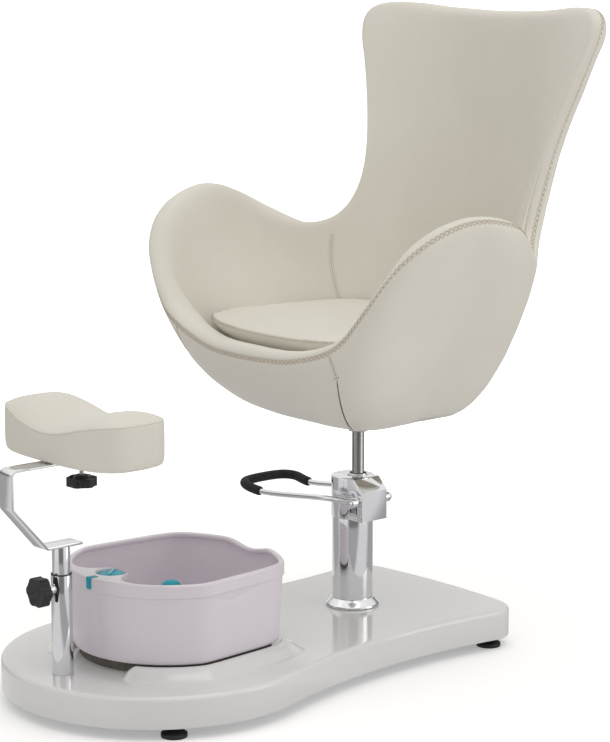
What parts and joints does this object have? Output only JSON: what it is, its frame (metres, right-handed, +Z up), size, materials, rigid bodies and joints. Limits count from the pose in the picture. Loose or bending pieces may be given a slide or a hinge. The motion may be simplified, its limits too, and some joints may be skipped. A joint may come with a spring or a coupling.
{
  "type": "pedicure chair",
  "caption": "Pedicure chair with an upholstered egg seat that turns and lifts on a foot pump, a lift-out foot bath and an adjustable leg rest on one keyhole base.",
  "frame": {"origin": "on the floor, under the middle of the whole chair's box", "axes": "+Z up, +Y to the back of the chair, so a person in the seat faces -Y; +X to that person's left"},
  "size_m": [0.8692, 1.295, 1.3058],
  "materials": {
    "base_plastic": "satin white moulded plastic",
    "bath_plastic": "glossy pale lilac-white acrylic",
    "teal_plastic": "glossy teal plastic",
    "black_steel": "satin black powder coat",
    "chrome": "polished chrome plate",
    "zinc_steel": "turned and zinc-plated steel",
    "bronze": "machined bronze",
    "black_rubber": "matt black rubber",
    "black_foam": "matt black foam sleeve",
    "black_plastic": "matt black moulded plastic",
    "plywood": "plain birch plywood",
    "moulded_shell": "rough moulded shell, hidden",
    "ivory_vinyl": "soft ivory artificial leather with tan cross-stitched seams",
    "grey_foam": "bonded seat foam in a grey cloth"
  },
  "bodies": {
    "base": {"base_shell": "base_plastic", "base_frame": "black_steel", "pump_flange": "chrome", "pump_tube": "chrome", "pump_body": "zinc_steel", "ram_bush": "bronze", "pump_cap": "chrome", "ram_seal": "black_rubber", "pump_bolts": "zinc_steel", "outer_post": "chrome", "post_bush": "black_plastic", "clamp_boss": "chrome"},
    "bath": {"foot_bath": "bath_plastic", "bath_tray": "bath_plastic", "bath_tab": "teal_plastic", "massage_column": "bath_plastic", "massage_dome": "teal_plastic"},
    "dial": {"bath_dial": "teal_plastic"},
    "ram": {"ram": "chrome"},
    "seat": {"seat_hub": "zinc_steel", "seat_plate": "black_steel", "seat_bolts": "zinc_steel", "seat_board": "plywood", "seat_shell": "moulded_shell", "outer_cover": "ivory_vinyl", "inner_upholstery": "ivory_vinyl", "seat_deck": "grey_foam", "seat_cushion": "ivory_vinyl"},
    "plunger": {"pump_plunger": "zinc_steel", "plunger_spring": "zinc_steel"},
    "pedal": {"pedal_frame": "chrome", "pedal_grip": "black_foam", "pivot_shaft": "zinc_steel", "pivot_bolts": "chrome"},
    "post": {"inner_post": "chrome"},
    "footrest": {"footrest_bar": "chrome", "bar_spigot": "chrome"},
    "pad": {"pad_board": "plywood", "pad_cushion": "ivory_vinyl", "pad_nut": "zinc_steel"},
    "pad_knob": {"pad_knob": "black_plastic", "pad_stud": "zinc_steel"},
    "clamp": {"clamp_knob": "black_plastic", "clamp_stud": "zinc_steel"},
    "foot_1": {"foot_pad_1": "black_rubber"},
    "foot_2": {"foot_pad_2": "black_rubber"},
    "foot_3": {"foot_pad_3": "black_rubber"},
    "foot_4": {"foot_pad_4": "black_rubber"}
  },
  "joints": [
    {"name": "bath_lift", "type": "slide", "parent": "base", "child": "bath", "axis": [0, 0, 1], "range_m": [0, 0.11]},
    {"name": "dial_turn", "type": "hinge", "parent": "bath", "child": "dial", "pos_m": [0, -0.41013, 0.245], "axis": [0, 0, 1], "range_deg": [0, 270]},
    {"name": "seat_lift", "type": "slide", "parent": "base", "child": "ram", "axis": [0, 0, 1], "range_m": [-0.08, 0.06]},
    {"name": "seat_swivel", "type": "hinge", "parent": "ram", "child": "seat", "pos_m": [0, 0.2235, 0.46], "axis": [0, 0, 1], "continuous": true},
    {"name": "pedal_press", "type": "hinge", "parent": "base", "child": "pedal", "pos_m": [0.05, 0.209, 0.312], "axis": [0, -1, 0], "range_deg": [0, 20], "stiffness_Nm_per_rad": 4, "springref_deg": -51.57},
    {"name": "plunger_push", "type": "slide", "parent": "base", "child": "plunger", "axis": [0, 0, -1], "range_m": [0, 0.01267], "deforming": ["plunger_spring"]},
    {"name": "footrest_lift", "type": "slide", "parent": "base", "child": "post", "axis": [0, 0, 1], "range_m": [-0.045, 0.1]},
    {"name": "footrest_swivel", "type": "hinge", "parent": "post", "child": "footrest", "pos_m": [0, -0.526, 0.33], "axis": [0, 0, 1], "range_deg": [-90, 90]},
    {"name": "pad_swivel", "type": "hinge", "parent": "footrest", "child": "pad", "pos_m": [0, -0.476, 0.5], "axis": [0, 0, 1], "continuous": true},
    {"name": "pad_knob_turn", "type": "hinge", "parent": "footrest", "child": "pad_knob", "pos_m": [0, -0.476, 0.44], "axis": [0, 0, 1], "continuous": true},
    {"name": "clamp_knob_turn", "type": "hinge", "parent": "base", "child": "clamp", "pos_m": [0, -0.566, 0.249], "axis": [0, -1, 0], "continuous": true},
    {"name": "foot_turn_1", "type": "hinge", "parent": "base", "child": "foot_1", "pos_m": [-0.23491, -0.44579, 0.013], "axis": [0, 0, 1], "continuous": true},
    {"name": "foot_turn_2", "type": "hinge", "parent": "base", "child": "foot_2", "pos_m": [0.23491, -0.44579, 0.013], "axis": [0, 0, 1], "continuous": true},
    {"name": "foot_turn_3", "type": "hinge", "parent": "base", "child": "foot_3", "pos_m": [-0.204, 0.405, 0.013], "axis": [0, 0, 1], "continuous": true},
    {"name": "foot_turn_4", "type": "hinge", "parent": "base", "child": "foot_4", "pos_m": [0.204, 0.405, 0.013], "axis": [0, 0, 1], "continuous": true}
  ],
  "couplings": [
    {"joint": "plunger_push", "follows": "pedal_press", "m_per_rad": 0.036}
  ]
}
